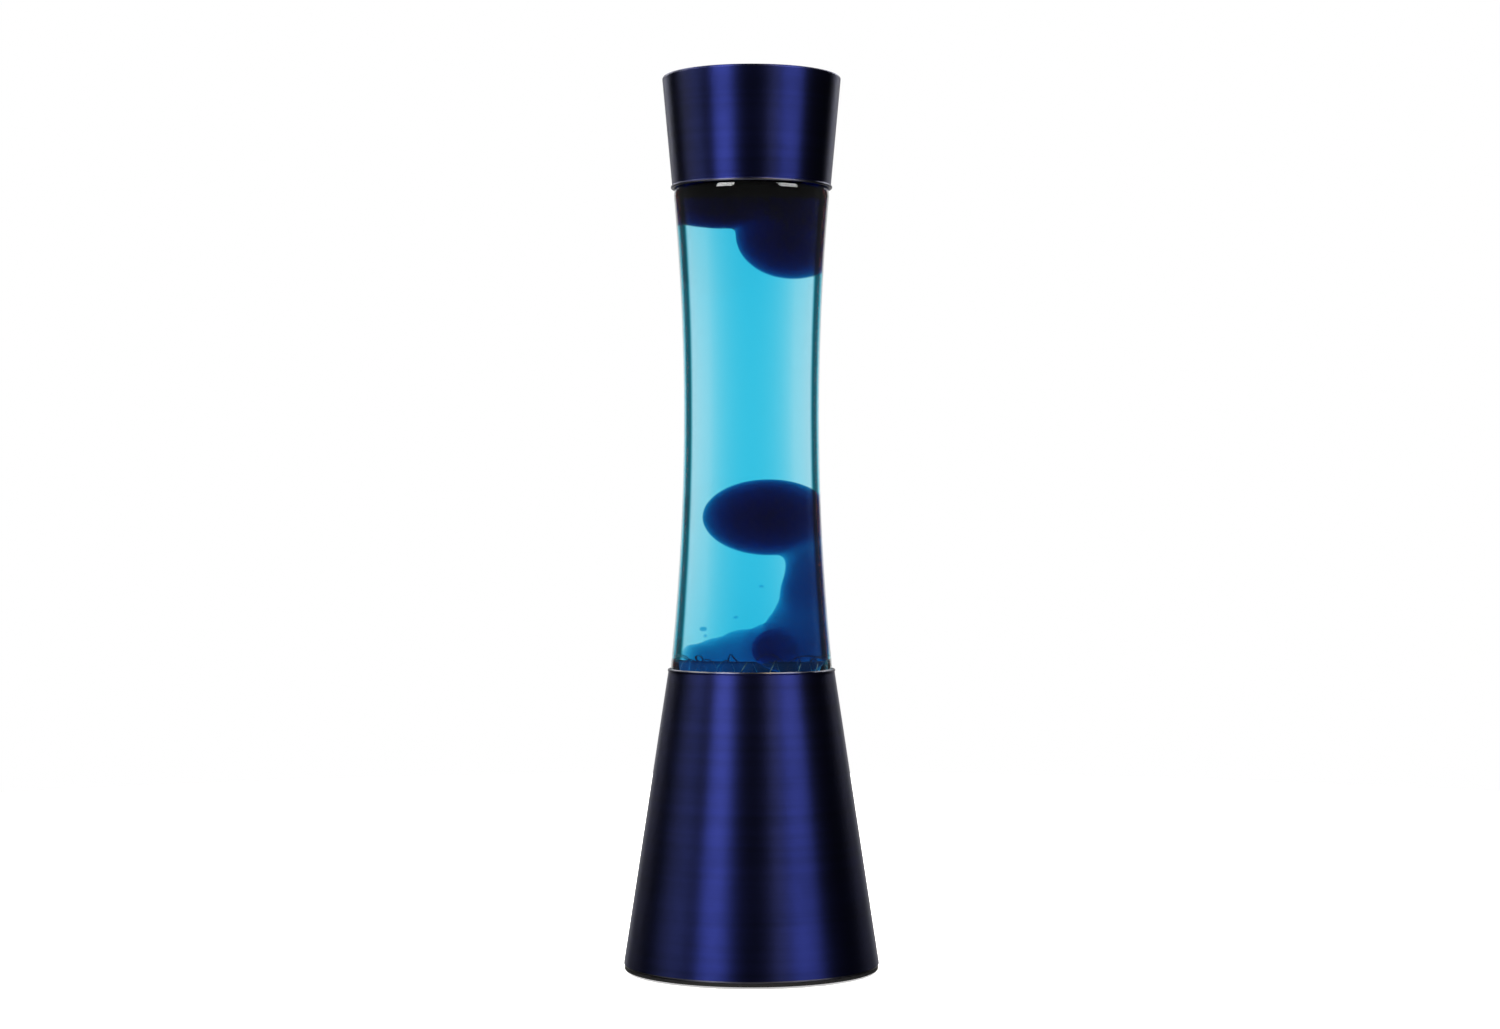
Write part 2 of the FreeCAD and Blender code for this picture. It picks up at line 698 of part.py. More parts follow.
def wax_beads(grow=0.0):
    """Small loose drops of wax above the mound."""
    beads = (
        ((-17.5, -12, 152.6), 1.2),
        ((-17.0, -13, 149.6), 0.7),
        ((-5.5, -4, 157.6), 0.8),
        ((3, 11, 171.0), 0.9),
    )
    return [grown_ball(centre, radius, grow) for centre, radius in beads]


def coil_ring(grow=0.0):
    """Outer shape of the wire coil that lies in a ring on the globe's floor."""
    return Part.makeTorus(COIL_RING_R, COIL_R + grow, at(0, 0, COIL_Z))


def liquid():
    """Everything inside the glass that is not wax or coil, up to the wax under the shoulder."""
    rest = cavity(GAP, 345)
    for piece in [wax_upper(GAP), wax_lower(GAP), coil_ring(GAP)] + wax_beads(GAP):
        rest = rest.cut(piece)
    return max(rest.Solids, key=lambda s: s.Volume)


# ---------------------------------------------------------------- cap
def cap_r(z):
    """Outer radius of the cap at a height."""
    share = (z - CAP_BOTTOM_Z) / (TOTAL_HEIGHT - CAP_BOTTOM_Z)
    return CAP_BOTTOM_R + share * (CAP_TOP_R - CAP_BOTTOM_R)


def cap_shell():
    """Spun cup, closed on top, with a rolled bead at its mouth."""
    inner_top = TOTAL_HEIGHT - SHEET
    cup = turned(
        (0, TOTAL_HEIGHT),
        (0, inner_top),
        (cap_r(inner_top) - SHEET, inner_top),
        (CAP_BOTTOM_R - SHEET, CAP_BOTTOM_Z),
        (CAP_BOTTOM_R, CAP_BOTTOM_Z),
        (CAP_TOP_R, TOTAL_HEIGHT),
    )
    cup = rounded(cup, CAP_EDGE_R, CAP_TOP_R, TOTAL_HEIGHT)
    cup = rounded(cup, CAP_EDGE_R - SHEET, cap_r(inner_top) - SHEET, inner_top)
    bead = Part.makeTorus(CAP_BOTTOM_R, BEAD_R, at(0, 0, CAP_BOTTOM_Z + 0.3))
    return cup.fuse(bead)


def cap_collar():
    """Foam ring glued in the cap, whose underside rests on the globe's shoulder."""
    inner_r = 24.0
    outer_z = SHOULDER_Z + 1.6
    outer_r = cap_r(outer_z) - SHEET - GAP
    top = SHOULDER_Z + 11.0
    shoulder_r = globe_r(SHOULDER_Z)

    def rest_z(radius):
        return SHOULDER_Z + (shoulder_r - radius) * SHOULDER_SLOPE + MOVING_GAP + 0.1

    return turned(
        (inner_r, top),
        (inner_r, rest_z(inner_r)),
        (outer_r, rest_z(outer_r) + 0.4),
        (cap_r(top) - SHEET - GAP, top),
    )


# ---------------------------------------------------------------- write the parts
PARTS = {
    "base_cone": base_cone,
    "globe_seat": globe_seat,
    "seat_gasket": seat_gasket,
    "bottom_cover": bottom_cover,
    "rubber_feet": rubber_feet,
    "cover_screws": cover_screws,
    "lamp_bracket": lamp_bracket,
    "bracket_screws": bracket_screws,
    "bracket_nuts": bracket_nuts,
    "nipple": nipple,
    "nipple_nut": nipple_nut,
    "lampholder_body": lampholder_body,
    "lampholder_shell": lampholder_shell,
    "lampholder_contact": lampholder_contact,
    "lampholder_terminals": lampholder_terminals,
    "cord_grommet": cord_grommet,
    "cord_clamp": cord_clamp,
    "clamp_screws": clamp_screws,
    "terminal_block": terminal_block,
    "terminal_screws": terminal_screws,
    "lead_live": lambda: lead(1),
    "lead_neutral": lambda: lead(-1),
    "bulb_contact": bulb_contact,
    "bulb_insulator": bulb_insulator,
    "bulb_cap": bulb_cap,
    "bulb_envelope": bulb_envelope,
    "bulb_reflector": bulb_reflector,
    "bulb_stem": bulb_stem,
    "filament_supports": filament_supports,
    "bulb_filament": bulb_filament,
    "globe_glass": globe_glass,
    "crown_cap": crown_cap,
    "crown_liner": crown_liner,
    "liquid": liquid,
    "wax_upper": wax_upper,
    "wax_lower": wax_lower,
    "wax_beads": wax_beads,
    "wax_coil": coil_ring,
    "cap_shell": cap_shell,
    "cap_collar": cap_collar,
}


def write_parts():
    os.makedirs("parts", exist_ok=True)
    for name, make in PARTS.items():
        shape = make()
        solids = shape if isinstance(shape, list) else shape.Solids
        shape = solids[0] if len(solids) == 1 else Part.makeCompound(solids)
        print(name, len(solids), "solid(s)", round(shape.Volume, 1), "mm3",
              "valid" if shape.isValid() else "NOT VALID")
        shape.exportStep(f"parts/{name}.step")


write_parts()
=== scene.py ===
# %% [markdown]
# # A liquid motion lamp
#
# The lamp is a flared base of turned aluminium, a waisted glass globe that holds turquoise liquid and
# dark blue wax, and a matching cap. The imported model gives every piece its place. Most metal and plastic
# pieces are shown as they are, with better finishes. The glass, the liquid, the wax and the wire coils
# are modelled again, because they need smooth, clean surfaces for light to pass through.

# %% Load the frame
import math

import bmesh
import bpy
import numpy as np
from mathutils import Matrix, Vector


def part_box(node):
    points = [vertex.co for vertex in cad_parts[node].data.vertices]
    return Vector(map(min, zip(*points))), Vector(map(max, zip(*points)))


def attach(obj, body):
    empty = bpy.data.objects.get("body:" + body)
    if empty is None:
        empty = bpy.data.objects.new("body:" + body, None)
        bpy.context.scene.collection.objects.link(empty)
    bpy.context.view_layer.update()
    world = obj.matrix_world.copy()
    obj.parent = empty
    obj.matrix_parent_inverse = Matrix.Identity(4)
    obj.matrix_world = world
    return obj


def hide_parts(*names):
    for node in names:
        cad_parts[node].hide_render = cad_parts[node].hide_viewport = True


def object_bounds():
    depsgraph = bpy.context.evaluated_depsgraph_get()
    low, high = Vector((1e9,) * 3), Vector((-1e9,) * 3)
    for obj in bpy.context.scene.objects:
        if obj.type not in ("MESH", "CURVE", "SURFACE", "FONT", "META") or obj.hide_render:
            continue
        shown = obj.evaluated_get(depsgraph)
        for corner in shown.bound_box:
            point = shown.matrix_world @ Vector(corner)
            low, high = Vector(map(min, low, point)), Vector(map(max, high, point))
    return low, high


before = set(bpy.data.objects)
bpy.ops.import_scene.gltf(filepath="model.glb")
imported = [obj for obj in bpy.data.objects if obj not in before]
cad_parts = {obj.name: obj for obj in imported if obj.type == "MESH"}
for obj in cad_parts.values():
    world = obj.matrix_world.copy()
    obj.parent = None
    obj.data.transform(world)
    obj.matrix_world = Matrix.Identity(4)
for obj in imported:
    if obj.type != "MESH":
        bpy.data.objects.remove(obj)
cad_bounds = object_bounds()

MM = 0.001
print("CAD box", [tuple(round(c, 4) for c in corner) for corner in cad_bounds])

# %% [markdown]
# ## Camera
#
# A lamp like this is shown level, from a little over three lamp heights away, with a long lens, so that
# its sides stay nearly straight. The camera stands at half the lamp's height and a small vertical shift
# frames it, because tilting the camera would make the sides lean.

# %% Camera
lamp_low, lamp_high = cad_bounds
lamp_height = lamp_high.z - lamp_low.z
CAMERA_DISTANCE = 1.2786
EYE_LEVEL = 0.5015  # the camera's height as a share of the lamp's
bpy.ops.object.camera_add(
    location=(0, -CAMERA_DISTANCE, lamp_height * EYE_LEVEL),
    rotation=(math.radians(90), 0, 0),
)
camera = bpy.context.object
camera.data.sensor_width = 36
camera.data.lens = 68.4
camera.data.shift_x = -0.001
camera.data.shift_y = 0.005
camera.data.dof.use_dof = False
bpy.context.scene.camera = camera
bpy.context.scene.view_settings.view_transform = "Standard"
print("camera at", tuple(round(c, 3) for c in camera.location))

# %% [markdown]
# ## Working with nodes
#
# The world and every finish are networks of nodes. Building one link by link makes long code that hides
# the idea, so five small helpers do it: they link a chain of nodes, add a node, add a sum, make a soft
# step, and mix two colours.


# %% Node helpers
def link_chain(tree, *sockets):
    """Links sockets in pairs: output, input, output, input."""
    for output, entry in zip(sockets[::2], sockets[1::2]):
        tree.links.new(output, entry)


def add_node(tree, kind, values=None, **settings):
    """A node of a kind, with attributes set by name and input sockets set by name or number."""
    node = tree.nodes.new("ShaderNode" + kind)
    for name, value in settings.items():
        setattr(node, name, value)
    for key, value in (values or {}).items():
        node.inputs[key].default_value = value
    return node


def calc(tree, operation, a, b=None, c=None):
    """One Math node; numbers are set and sockets are linked."""
    node = add_node(tree, "Math", operation=operation)
    for entry, value in zip(node.inputs, (a, b, c)):
        if isinstance(value, (int, float)):
            entry.default_value = value
        elif value is not None:
            tree.links.new(value, entry)
    return node.outputs[0]


def step(tree, value, low, high):
    """0 below low, 1 above high and a smooth rise between."""
    node = add_node(tree, "MapRange", {"From Min": low, "From Max": high}, interpolation_type="SMOOTHSTEP")
    tree.links.new(value, node.inputs["Value"])
    return node.outputs["Result"]


def mixed(tree, factor, low, high):
    """A colour that goes from low to high as factor goes from 0 to 1; each is a colour or a socket."""
    node = add_node(tree, "Mix", data_type="RGBA")
    tree.links.new(factor, node.inputs["Factor"])
    for entry, value in ((node.inputs["A"], low), (node.inputs["B"], high)):
        if isinstance(value, tuple):
            entry.default_value = (*value, 1)
        else:
            tree.links.new(value, entry)
    return node.outputs["Result"]


# %% [markdown]
# ## Studio
#
# Behind the lamp the studio is a white wall, with a dark strip at each end. A round glass full of liquid
# bends light so much at its sides that it shows the strips there as two thin dark lines, and these draw
# the edges of the glass. Further round, the room is half as bright as the wall, so the glass is still
# clear from the back. The world is plain white where the camera sees it. For mirrored and bent rays its
# brightness and colour go by direction.

# %% World
# Widths are half angles round the lamp, in degrees from straight behind it.
WINDOW_HALF = 26  # what metal and glass mirror of the white wall
FLAG_FROM, FLAG_TO = 38, 52  # dark strips, seen only through the glass
WALL_END = 68
EDGE = 3  # each border is soft, this much to either side
WARM_FROM = 20  # the wall has its warm colour from here on
FLAG_DIM = 0.88  # share of the light that a strip holds back
STRIP_COLOUR = (0.15, 0.95, 1.0)
WARM_LIGHT = (4.1, 1.16, 1.05)  # the white wall's colour at its ends, seen through the glass
AROUND = 0.5  # brightness of the rest of the room, seen through the glass
# What metal mirrors of the wall, the dark room and the table, and what glass adds to the first two.
WALL_IN_METAL, DARK_IN_METAL, TABLE_MIRRORED = 0.4, 0.02, 0.9
WALL_IN_GLASS, DARK_IN_GLASS = 0.5, 0.06
TABLE_FROM, TABLE_TO = 0.8, 0.95  # how steeply down a ray goes before it meets the table
SOFT_FILL = 0.55  # light from all round on matt surfaces

world = bpy.data.worlds.new("studio")
bpy.context.scene.world = world
world.use_nodes = True
world.cycles.sampling_method = "NONE"
sky = world.node_tree
direction = add_node(sky, "TexCoord")
parts = add_node(sky, "SeparateXYZ")
sky.links.new(direction.outputs["Generated"], parts.inputs[0])
x, y = parts.outputs["X"], parts.outputs["Y"]
level = calc(sky, "SQRT", calc(sky, "ADD", calc(sky, "MULTIPLY", x, x), calc(sky, "MULTIPLY", y, y)))
along = calc(sky, "DIVIDE", y, calc(sky, "MAXIMUM", level, 0.001))


def cosine(degrees):
    """Cosine of an angle in degrees."""
    return math.cos(math.radians(degrees))


def around_back(half_width):
    """1 within that many degrees of straight behind the lamp, and 0 beyond."""
    return step(sky, along, cosine(half_width + EDGE), cosine(half_width - EDGE))


on_wall = around_back(FLAG_FROM)
flag = calc(sky, "SUBTRACT", around_back(FLAG_TO), on_wall)
room = calc(sky, "MULTIPLY_ADD", around_back(WALL_END), 1.0 - AROUND, AROUND)
below = step(sky, calc(sky, "MULTIPLY", parts.outputs["Z"], -1.0), TABLE_FROM, TABLE_TO)

path = add_node(sky, "LightPath")
bent = path.outputs["Is Transmission Ray"]
mirrored = calc(sky, "MULTIPLY", path.outputs["Is Glossy Ray"], calc(sky, "SUBTRACT", 1.0, bent))
sharp = path.outputs["Is Singular Ray"]
mirrored_wall = calc(sky, "MULTIPLY_ADD", sharp, WALL_IN_GLASS, WALL_IN_METAL)
mirrored_wall = calc(sky, "MULTIPLY_ADD", around_back(WINDOW_HALF), mirrored_wall, DARK_IN_METAL)
amounts = (
    path.outputs["Is Camera Ray"],
    calc(sky, "MULTIPLY", calc(sky, "MULTIPLY", bent, room), calc(sky, "MULTIPLY_ADD", flag, -FLAG_DIM, 1.0)),
    calc(sky, "MULTIPLY", mirrored, mirrored_wall),
    calc(sky, "MULTIPLY", calc(sky, "MULTIPLY", mirrored, sharp), DARK_IN_GLASS),
    calc(sky, "MULTIPLY", calc(sky, "MULTIPLY", mirrored, below), TABLE_MIRRORED),
    calc(sky, "MULTIPLY", path.outputs["Is Diffuse Ray"], SOFT_FILL),
)
total = amounts[0]
for amount in amounts[1:]:
    total = calc(sky, "ADD", total, amount)
warmth = add_node(sky, "MapRange", {"From Min": 1.0, "From Max": cosine(WARM_FROM)})
sky.links.new(along, warmth.inputs["Value"])
warm = calc(sky, "MULTIPLY", warmth.outputs["Result"], on_wall)
wall_colour = mixed(sky, calc(sky, "MULTIPLY", warm, bent), (1, 1, 1), WARM_LIGHT)
room_colour = mixed(sky, calc(sky, "MULTIPLY", flag, bent), wall_colour, STRIP_COLOUR)
background = sky.nodes["Background"]
sky.links.new(room_colour, background.inputs["Color"])
sky.links.new(total, background.inputs["Strength"])
print("world:", len(sky.nodes), "nodes")

# %% [markdown]
# ## Lights and floor
#
# Two tall soft boxes stand in front, left and right. Turned metal draws each of them out into one upright
# band, which is what shows that the surface is round. Weaker boxes at the sides and behind give the other
# sides their own bands. None of them shows through the glass. The floor is plain and pale.


# %% Soft boxes
def soft_box(name, azimuth, elevation, distance, width, height, power, colour=(1, 1, 1)):
    """Rectangular light that faces the lamp. Azimuth is 0 at the camera's side and positive to the right."""
    turn, rise = math.radians(azimuth), math.radians(elevation)
    middle = Vector((0, 0, lamp_height / 2))
    back = Vector((math.sin(turn) * math.cos(rise), -math.cos(turn) * math.cos(rise), math.sin(rise)))
    bpy.ops.object.light_add(type="AREA", location=middle + back * distance)
    light = bpy.context.object
    light.name = name
    light.rotation_euler = back.to_track_quat("Z", "Y").to_euler()
    light.data.shape = "RECTANGLE"
    light.data.size = width
    light.data.size_y = height
    light.data.energy = power
    light.data.color = colour
    light.visible_camera = False
    light.visible_transmission = False
    return light


# name, azimuth, elevation, distance, width, height, power and colour
soft_box("key_left", -41, 36, 2.0, 0.85, 1.3, 44)
soft_box("key_right", 58, 36, 2.0, 1.0, 1.3, 36)
soft_box("strip_right", 38, 55, 2.0, 0.3, 0.7, 18, (1, 0.8, 0.45))
soft_box("fill_left", -100, 42, 2.0, 1.3, 0.7, 28, (0.85, 0.82, 0.62))
soft_box("rear_left", -153, 32, 2.2, 0.6, 1.2, 10)
soft_box("rear_right", 153, 32, 2.2, 0.6, 1.2, 10)
overhead = soft_box("overhead", 0, 88, 2.0, 2.2, 2.2, 40)
overhead.visible_glossy = False

# %% Floor
FLOOR_RADIUS = 1.0
bpy.ops.mesh.primitive_circle_add(
    vertices=96, radius=FLOOR_RADIUS, fill_type="NGON", location=(0, 0, lamp_low.z)
)
floor = bpy.context.object
floor.name = "floor"
paper = bpy.data.materials.new("floor_paper")
paper.use_nodes = True
floor.data.materials.append(paper)
surface = paper.node_tree.nodes["Principled BSDF"]
surface.inputs["Base Color"].default_value = (0.86, 0.86, 0.86, 1)
surface.inputs["Roughness"].default_value = 0.9
surface.inputs["Specular IOR Level"].default_value = 0.1
surface.inputs["Emission Color"].default_value = (1, 1, 1, 1)
surface.inputs["Emission Strength"].default_value = 0.55
floor.visible_glossy = False
floor.visible_transmission = False
print("floor at", round(lamp_low.z, 4))

# %% [markdown]
# ## Shared surface effects
#
# Each effect that more than one finish uses is a node group: lines left by turning, soft clouds of uneven
# colour, and fine moulded grain. A group gives out only values that change over the surface.


# %% Effect groups
def effect_group(name, inputs, outputs):
    """A new node group with float inputs, given as name and default, and float outputs."""
    group = bpy.data.node_groups.new(name, "ShaderNodeTree")
    for label, default in inputs:
        socket = group.interface.new_socket(label, in_out="INPUT", socket_type="NodeSocketFloat")
        socket.default_value = default
    for label in outputs:
        group.interface.new_socket(label, in_out="OUTPUT", socket_type="NodeSocketFloat")
    entry = group.nodes.new("NodeGroupInput")
    leave = group.nodes.new("NodeGroupOutput")
    return group, entry.outputs, leave.inputs


def object_noise(tree, scale, detail=4.0, stretch=(1, 1, 1), roughness=0.5):
    """Noise in the piece's own metres, stretched along its axes."""
    place = add_node(tree, "TexCoord")
    mapping = add_node(tree, "Mapping", {"Scale": stretch})
    noise = add_node(tree, "TexNoise", {"Scale": scale, "Detail": detail, "Roughness": roughness})
    link_chain(
        tree,
        place.outputs["Object"], mapping.inputs["Vector"],
        mapping.outputs["Vector"], noise.inputs["Vector"],
    )
    return noise.outputs["Fac"]


def turning_group():
    """Fine rings left by a lathe: Lines is their height, Sheen is a slower change along the axis."""
    group, entry, leave = effect_group("turning_lines", (("Fineness", 1.0),), ("Lines", "Sheen"))
    place = add_node(group, "TexCoord")
    scaled = add_node(group, "VectorMath", operation="SCALE")
    mapping = add_node(group, "Mapping", {"Scale": (14, 14, 2600)})
    lines = add_node(group, "TexNoise", {"Scale": 1.0, "Detail": 3.0, "Roughness": 0.7})
    slow_mapping = add_node(group, "Mapping", {"Scale": (5, 5, 240)})
    slow = add_node(group, "TexNoise", {"Scale": 1.0, "Detail": 4.0, "Roughness": 0.55})
    link_chain(
        group,
        place.outputs["Object"], scaled.inputs[0],
        entry["Fineness"], scaled.inputs["Scale"],
        scaled.outputs[0], mapping.inputs["Vector"],
        mapping.outputs["Vector"], lines.inputs["Vector"],
        scaled.outputs[0], slow_mapping.inputs["Vector"],
        slow_mapping.outputs["Vector"], slow.inputs["Vector"],
        lines.outputs["Fac"], leave["Lines"],
        slow.outputs["Fac"], leave["Sheen"],
    )
    return group


def clouds_group():
    """Soft uneven patches, and small specks of dust."""
    group, entry, leave = effect_group("clouds", (("Size", 1.0),), ("Patches", "Specks"))
    place = add_node(group, "TexCoord")
    scaled = add_node(group, "VectorMath", operation="SCALE")
    patches = add_node(group, "TexNoise", {"Scale": 38.0, "Detail": 5.0, "Roughness": 0.6})
    dust = add_node(group, "TexVoronoi", {"Scale": 160.0})
    off_speck = step(group, dust.outputs["Distance"], 0.03, 0.07)
    link_chain(
        group,
        place.outputs["Object"], scaled.inputs[0],
        entry["Size"], scaled.inputs["Scale"],
        scaled.outputs[0], patches.inputs["Vector"],
        scaled.outputs[0], dust.inputs["Vector"],
        patches.outputs["Fac"], leave["Patches"],
        calc(group, "SUBTRACT", 1.0, off_speck), leave["Specks"],
    )
    return group


def grain_group():
    """Fine grain of a moulded or cast surface."""
    group, entry, leave = effect_group("moulded_grain", (("Scale", 1800.0),), ("Grain",))
    place = add_node(group, "TexCoord")
    fine = add_node(group, "TexNoise", {"Detail": 3.0, "Roughness": 0.6})
    link_chain(
        group,
        place.outputs["Object"], fine.inputs["Vector"],
        entry["Scale"], fine.inputs["Scale"],
        fine.outputs["Fac"], leave["Grain"],
    )
    return group


TURNING = turning_group()
CLOUDS = clouds_group()
GRAIN = grain_group()
print("groups:", [group.name for group in bpy.data.node_groups])

# %% [markdown]
# ## Recipes for finishes
#
# A finish starts from one Principled shader with plain values. Colour and gloss then drift between two
# values, because no real surface is even, and a height map gives it relief.


# %% Material helpers
def new_finish(name, **values):
    """A material whose Principled shader has the given socket values, with spaces written as underscores."""
    finish = bpy.data.materials.new(name)
    finish.use_nodes = True
    shader = finish.node_tree.nodes["Principled BSDF"]
    for label, value in values.items():
        socket = shader.inputs[label.replace("_", " ")]
        socket.default_value = (*value, 1.0) if isinstance(value, tuple) and len(value) == 3 else value
    return finish, finish.node_tree, shader


def use_group(tree, group, **values):
    """Places an effect group with its input values, and gives its outputs."""
    node = add_node(tree, "Group")
    node.node_tree = group
    for label, value in values.items():
        node.inputs[label].default_value = value
    return node.outputs


def colour_between(tree, factor, low, high, entry):
    """Feeds entry with a colour that goes from low to high as factor goes from 0 to 1."""
    tree.links.new(mixed(tree, factor, low, high), entry)


def value_between(tree, factor, low, high, entry):
    """Feeds entry with a number that goes from low to high as factor goes from 0 to 1."""
    tree.links.new(calc(tree, "MULTIPLY_ADD", factor, high - low, low), entry)


def bump(tree, shader, height, depth, strength=1.0):
    """Relief of that height map, whose full range is depth metres."""
    relief = add_node(tree, "Bump", {"Strength": strength, "Distance": depth})
    link_chain(tree, height, relief.inputs["Height"], relief.outputs["Normal"], shader.inputs["Normal"])


def own_place(tree):
    """X, Y and Z in the piece's own metres."""
    place = add_node(tree, "TexCoord")
    parts = add_node(tree, "SeparateXYZ")
    tree.links.new(place.outputs["Object"], parts.inputs[0])
    return parts.outputs


def dress(names, finish):
    """Gives CAD nodes a finish."""
    for name in names:
        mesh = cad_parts[name].data
        for index in range(len(mesh.materials)):
            mesh.materials[index] = finish
    print(finish.name, "on", len(names), "pieces")


# %% [markdown]
# ## Blue turned metal
#
# The base and the cap are spun aluminium, turned on a lathe and dyed a deep blue. The fine rings run
# round the piece, so a highlight stretches up and down, across them. The shader's anisotropy does that,
# turned a quarter because its tangent runs round the axis. Rings and soft clouds change the colour and
# the gloss a little. The dye is worn off the beads at the two rims and the rolled edge below, which shine
# as thin pale lines.

# %% Blue metal
BASE_FOOT, BASE_RIM = (corner.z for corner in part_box("base_cone"))
CAP_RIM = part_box("cap_shell")[0].z
DYE_DARK, DYE_LIGHT = (0.0092, 0.0135, 0.082), (0.015, 0.0215, 0.131)
BARE_METAL = (0.15, 0.15, 0.19)
# Where the dye begins to thin and where it is gone, measured from the base's rim, the cap's rim and the foot.
BASE_WEAR = 0.6 * MM, 0.4 * MM
CAP_WEAR = 0.9 * MM, 0.6 * MM
FOOT_WEAR = 1.1 * MM, 0.8 * MM
blue_metal, tree, shader = new_finish(
    "blue_turned_metal",
    Metallic=1.0,
    Anisotropic=0.95,
    Anisotropic_Rotation=0.25,
    Coat_Weight=0.15,
    Coat_Roughness=0.35,
)
rings = use_group(tree, TURNING, Fineness=1.0)
clouds = use_group(tree, CLOUDS, Size=1.0)
tangent = add_node(tree, "Tangent", direction_type="RADIAL", axis="Z")
tree.links.new(tangent.outputs["Tangent"], shader.inputs["Tangent"])
shade = calc(tree, "MULTIPLY_ADD", rings["Sheen"], 0.5, calc(tree, "MULTIPLY", clouds["Patches"], 0.5))
height = own_place(tree)["Z"]
above_base = step(tree, height, BASE_RIM - BASE_WEAR[0], BASE_RIM - BASE_WEAR[1])
above_cap_rim = step(tree, height, CAP_RIM + CAP_WEAR[1], CAP_RIM + CAP_WEAR[0])
above_foot = step(tree, height, BASE_FOOT + FOOT_WEAR[1], BASE_FOOT + FOOT_WEAR[0])
bare_beads = calc(tree, "SUBTRACT", above_base, above_cap_rim)
bare = calc(tree, "ADD", bare_beads, calc(tree, "SUBTRACT", 1.0, above_foot))
dyed = mixed(tree, step(tree, shade, 0.3, 0.7), DYE_DARK, DYE_LIGHT)
colour_between(tree, bare, dyed, BARE_METAL, shader.inputs["Base Color"])
value_between(tree, shade, 0.40, 0.50, shader.inputs["Roughness"])
bump(tree, shader, rings["Lines"], 0.03 * MM, 0.35)
dress(("base_cone", "cap_shell"), blue_metal)

# %% [markdown]
# ## Drawing and turning outlines
#
# The glass and the liquid are round about one axis. The way to model such a piece by hand is to draw half
# its outline from one point, extruding from corner to corner, and to spin the outline round the axis.
# Corners are rounded while drawing, so the spun surface is smooth without any modifier.


# %% Outlines
def deselect_everything():
    """Leaves edit mode and clears the selection, because an operator acts on all that is selected."""
    if bpy.context.object and bpy.context.object.mode != "OBJECT":
        bpy.ops.object.mode_set(mode="OBJECT")
    bpy.ops.object.select_all(action="DESELECT")


def round_corner(before, corner, after, radius, pieces=8):
    """Points of an arc that rounds the corner of an outline."""
    before, corner, after = Vector(before), Vector(corner), Vector(after)
    one, two = (before - corner).normalized(), (after - corner).normalized()
    half = one.angle(two) / 2
    centre = corner + (one + two).normalized() * radius / math.sin(half)
    start = corner + one * radius / math.tan(half)
    end = corner + two * radius / math.tan(half)
    turn = (start - centre).angle_signed(end - centre)
    arc = []
    for index in range(pieces + 1):
        angle = -turn * index / pieces
        arm = start - centre
        arc.append(centre + Vector((
            arm.x * math.cos(angle) - arm.y * math.sin(angle),
            arm.x * math.sin(angle) + arm.y * math.cos(angle),
        )))
    return arc


def outline(*corners):
    """Points (radius, height) of an open outline; a third number rounds that corner."""
    points = []
    for index, corner in enumerate(corners):
        if len(corner) == 3 and corner[2] > 0:
            points += round_corner(corners[index - 1][:2], corner[:2], corners[index + 1][:2], corner[2])
        else:
            points.append(Vector(corner[:2]))
    return points


# %% Turned pieces
POINT_SNAP = 1e-7  # joins points that were drawn twice
SEAM_SNAP = 0.005 * MM  # closes the poles, and the seam where the spin meets its start


def turn_on_axis(name, points, steps):
    """Draws an outline by extruding from its first point and spins it round the axis."""
    deselect_everything()
    first = points[0]
    bpy.ops.mesh.primitive_plane_add(size=MM, location=(first.x, 0, first.y))
    piece = bpy.context.object
    piece.name = name
    bpy.ops.object.mode_set(mode="EDIT")
    bpy.ops.mesh.select_all(action="SELECT")
    bpy.ops.mesh.merge(type="CENTER")
    for here, there in zip(points, points[1:]):
        move = (there.x - here.x, 0, there.y - here.y)
        bpy.ops.mesh.extrude_region_move(TRANSFORM_OT_translate={"value": move})
    bpy.ops.mesh.select_all(action="SELECT")
    bpy.ops.mesh.remove_doubles(threshold=POINT_SNAP)
    bpy.ops.mesh.select_all(action="SELECT")
    bpy.ops.mesh.spin(steps=steps, angle=math.tau, center=(0, 0, 0), axis=(0, 0, 1))
    bpy.ops.mesh.select_all(action="SELECT")
    bpy.ops.mesh.remove_doubles(threshold=SEAM_SNAP)
    bpy.ops.mesh.normals_make_consistent(inside=False)
    bpy.ops.object.mode_set(mode="OBJECT")
    bpy.ops.object.transform_apply(location=True, rotation=True, scale=True)
    bpy.ops.object.shade_smooth_by_angle(angle=math.radians(40))
    return piece


# %% [markdown]
# ## Glass globe
#
# The globe is one blown bottle with a thick, clear wall: a rounded heel, a waist, a shoulder that falls
# to a narrow neck, and a ring for its crown cap. The waist is an arc of more than a metre's radius. Its
# wall is a closed shell with an outside and an inside, because the bend of light at both is what makes
# glass look thick.

# %% Globe
globe_low, globe_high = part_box("globe_glass")
GLOBE_BOTTOM = globe_low.z
NECK_TOP = globe_high.z
WAIST_Z = 248.3 * MM  # height of the narrowest place
WAIST_R = 30.35 * MM
ARC_R = 1082 * MM  # the waist is an arc of this radius
SHOULDER_Z = 352 * MM
SHOULDER_SLOPE = 0.53  # height gained for the radius lost
NECK_R = 12.4 * MM
NECK_RING_R = 13.3 * MM
WALL = 2.4 * MM
FLOOR_THICKNESS = 3.2 * MM
HEEL_ROUND, SHOULDER_ROUND, NECK_ROUND = 8 * MM, 9 * MM, 5 * MM
PUNT_R, PUNT_RISE = 21 * MM, 1.8 * MM  # the shallow dome in the bottle's foot
WAIST_POINTS = 44
WAIST_FROM, WAIST_TO = 10 * MM, 9 * MM  # the waist's first point above the floor, its last below the shoulder
